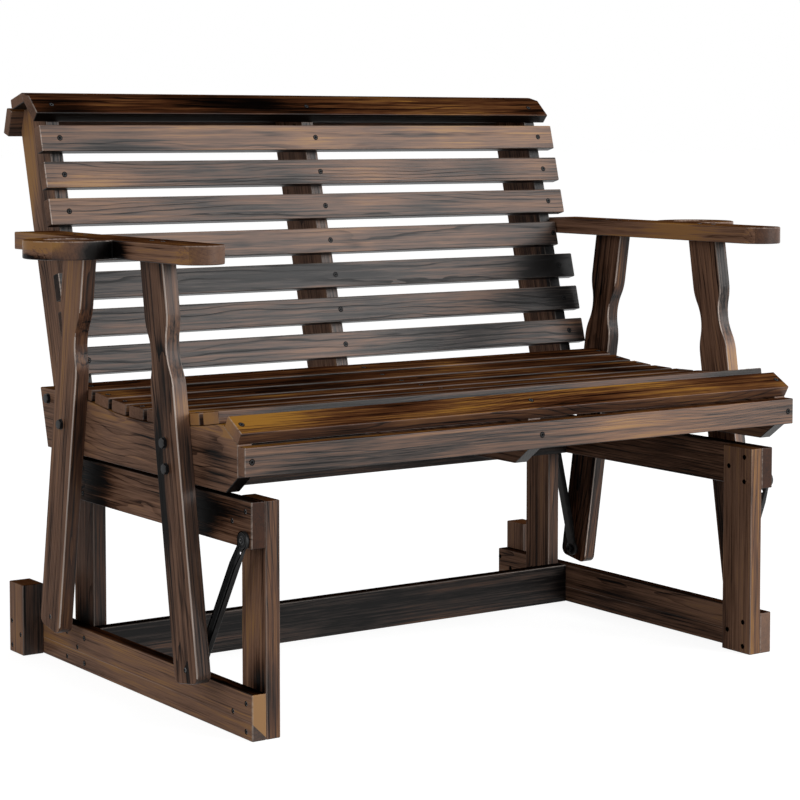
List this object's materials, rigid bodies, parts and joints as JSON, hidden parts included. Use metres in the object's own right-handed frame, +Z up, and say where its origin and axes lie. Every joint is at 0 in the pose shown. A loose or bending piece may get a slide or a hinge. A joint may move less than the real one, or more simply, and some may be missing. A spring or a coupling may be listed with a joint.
{
  "type": "glider bench",
  "caption": "Slatted wooden glider bench: dished seat, leaning back and flat arms with cup holders swing as one on steel links over a fixed base frame.",
  "frame": {"origin": "on the floor, under the middle of the bounding box", "axes": "+X along the bench to the right of someone who looks at its front, +Y from the front to the back, +Z up"},
  "size_m": [1.29, 0.7358, 0.8706],
  "materials": {
    "stained_wood": "dark scorched and stained softwood, semi-gloss",
    "black_steel": "matt black coated steel",
    "bearing_steel": "dark steel",
    "black_hardware": "black coated bolts, nuts and screws"
  },
  "bodies": {
    "base": {"bottom_rail_left": "stained_wood", "bottom_rail_right": "stained_wood", "top_rail_left": "stained_wood", "top_rail_right": "stained_wood", "front_post_left": "stained_wood", "front_post_right": "stained_wood", "rear_post_left": "stained_wood", "rear_post_right": "stained_wood", "lower_stretcher": "stained_wood", "upper_stretcher": "stained_wood", "stop_block_left": "stained_wood", "stop_block_right": "stained_wood", "frame_bolts": "black_hardware", "frame_cap_nuts": "black_hardware", "upper_pivot_bolts": "black_hardware", "upper_pivot_washers": "black_hardware"},
    "link_front_left": {"link_front_left": "black_steel", "bearings_front_left": "bearing_steel"},
    "link_front_right": {"link_front_right": "black_steel", "bearings_front_right": "bearing_steel"},
    "link_rear_left": {"link_rear_left": "black_steel", "bearings_rear_left": "bearing_steel"},
    "link_rear_right": {"link_rear_right": "black_steel", "bearings_rear_right": "bearing_steel"},
    "seat": {"arm_leg_front_left": "stained_wood", "arm_leg_front_right": "stained_wood", "arm_leg_rear_left": "stained_wood", "arm_leg_rear_right": "stained_wood", "armrest_left": "stained_wood", "armrest_right": "stained_wood", "back_slat_1": "stained_wood", "back_slat_2": "stained_wood", "back_slat_3": "stained_wood", "back_slat_4": "stained_wood", "back_slat_5": "stained_wood", "back_slat_6": "stained_wood", "back_slat_7": "stained_wood", "back_support_left": "stained_wood", "back_support_middle": "stained_wood", "back_support_right": "stained_wood", "cap_front": "stained_wood", "cap_rear": "stained_wood", "cap_top": "stained_wood", "front_apron": "stained_wood", "hex_bolts": "black_hardware", "hex_nuts": "black_hardware", "lower_pivot_bolts": "black_hardware", "lower_pivot_nuts_and_washers": "black_hardware", "nose_board": "stained_wood", "seat_slat_1": "stained_wood", "seat_slat_2": "stained_wood", "seat_slat_3": "stained_wood", "seat_slat_4": "stained_wood", "seat_slat_5": "stained_wood", "seat_slat_6": "stained_wood", "seat_slat_7": "stained_wood", "seat_slat_8": "stained_wood", "seat_support_left": "stained_wood", "seat_support_middle": "stained_wood", "seat_support_right": "stained_wood"}
  },
  "joints": [
    {"name": "front_left_link_swing", "type": "hinge", "parent": "base", "child": "link_front_left", "pos_m": [-0.47355, -0.33028, 0.2694], "axis": [1, 0, 0], "range_deg": [-12, 12]},
    {"name": "front_right_link_swing", "type": "hinge", "parent": "base", "child": "link_front_right", "pos_m": [0.47355, -0.33028, 0.2694], "axis": [1, 0, 0], "range_deg": [-12, 12]},
    {"name": "rear_left_link_swing", "type": "hinge", "parent": "base", "child": "link_rear_left", "pos_m": [-0.47355, 0.20731, 0.2854], "axis": [1, 0, 0], "range_deg": [-11.2, 11.2]},
    {"name": "rear_right_link_swing", "type": "hinge", "parent": "base", "child": "link_rear_right", "pos_m": [0.47355, 0.20731, 0.2854], "axis": [1, 0, 0], "range_deg": [-11.2, 11.2]},
    {"name": "seat_on_front_left_link", "type": "hinge", "parent": "link_front_left", "child": "seat", "pos_m": [-0.48905, -0.24363, 0.08339], "axis": [1, 0, 0], "range_deg": [-15.6, 15.6]}
  ],
  "couplings": [
    {"joint": "front_right_link_swing", "follows": "front_left_link_swing", "ratio": 1},
    {"joint": "rear_left_link_swing", "follows": "front_left_link_swing", "ratio": 0.9193},
    {"joint": "rear_right_link_swing", "follows": "front_left_link_swing", "ratio": 0.9193},
    {"joint": "seat_on_front_left_link", "follows": "front_left_link_swing", "ratio": -1.2847}
  ]
}
